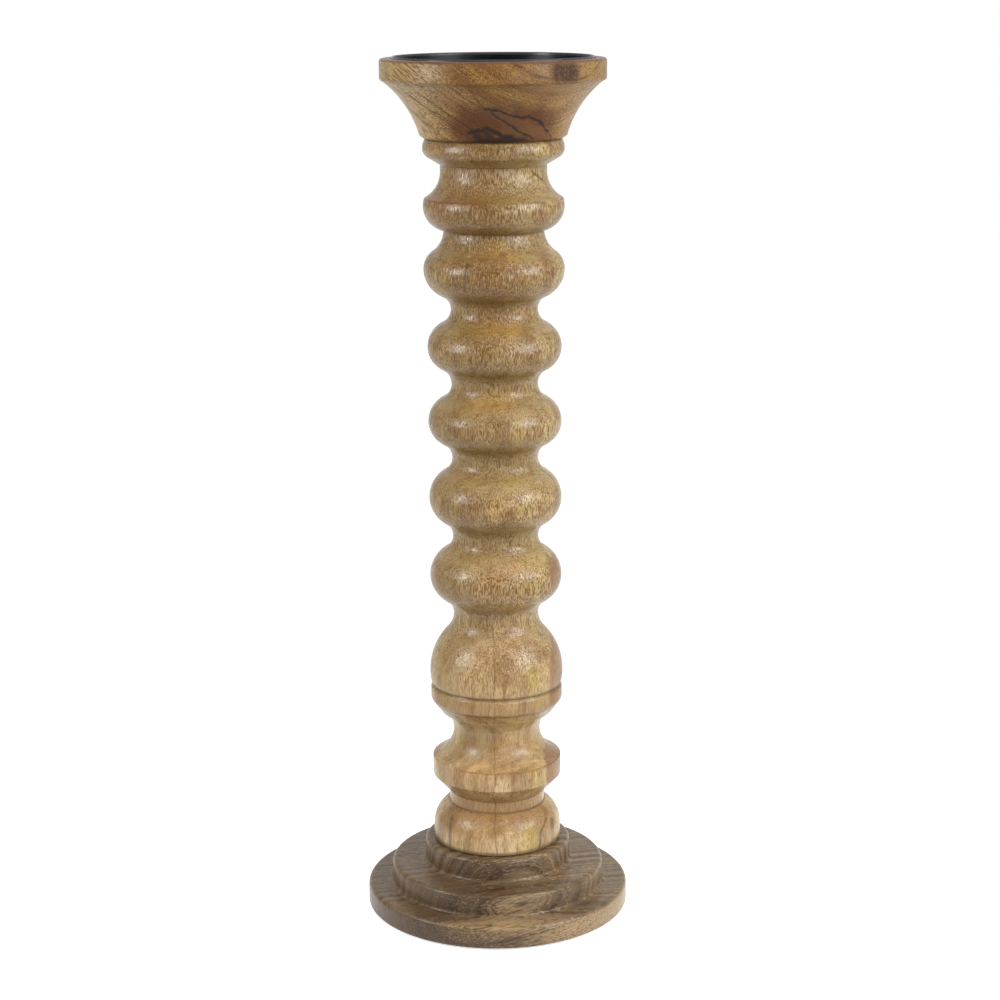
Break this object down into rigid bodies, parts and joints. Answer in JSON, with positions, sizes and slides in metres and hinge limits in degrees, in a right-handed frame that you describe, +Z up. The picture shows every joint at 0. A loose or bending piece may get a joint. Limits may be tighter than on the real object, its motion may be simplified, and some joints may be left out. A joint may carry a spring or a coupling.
{
  "type": "candle holder",
  "caption": "Tall turned-wood candle holder with a stepped round base, a beaded column and a flared cup that holds a lift-out black metal pan for a pillar candle.",
  "frame": {"origin": "centre of the underside, on the surface that the holder stands on", "axes": "+Z up along the turning axis; the holder is round, so X and Y are any two directions across it"},
  "size_m": [0.142, 0.142, 0.458],
  "materials": {
    "felt": "pressed dark felt glued flat",
    "base_wood": "grey-brown stained and lacquered turned wood",
    "column_wood": "clear-lacquered light turned wood, half gloss",
    "cup_wood": "clear-lacquered brown turned wood with dark figure",
    "black_pan": "satin black coating on pressed steel",
    "zinc_steel": "bright zinc plating"
  },
  "bodies": {
    "holder": {"felt_disc": "felt", "base": "base_wood", "column": "column_wood", "cup": "cup_wood", "tie_rod": "zinc_steel", "base_washer": "zinc_steel", "base_nut": "zinc_steel", "cup_washer": "zinc_steel", "cup_nut": "zinc_steel"},
    "pan": {"candle_pan": "black_pan"}
  },
  "joints": [
    {"name": "pan_lift", "type": "slide", "parent": "holder", "child": "pan", "axis": [0, 0, 1], "range_m": [0, 0.04]}
  ]
}
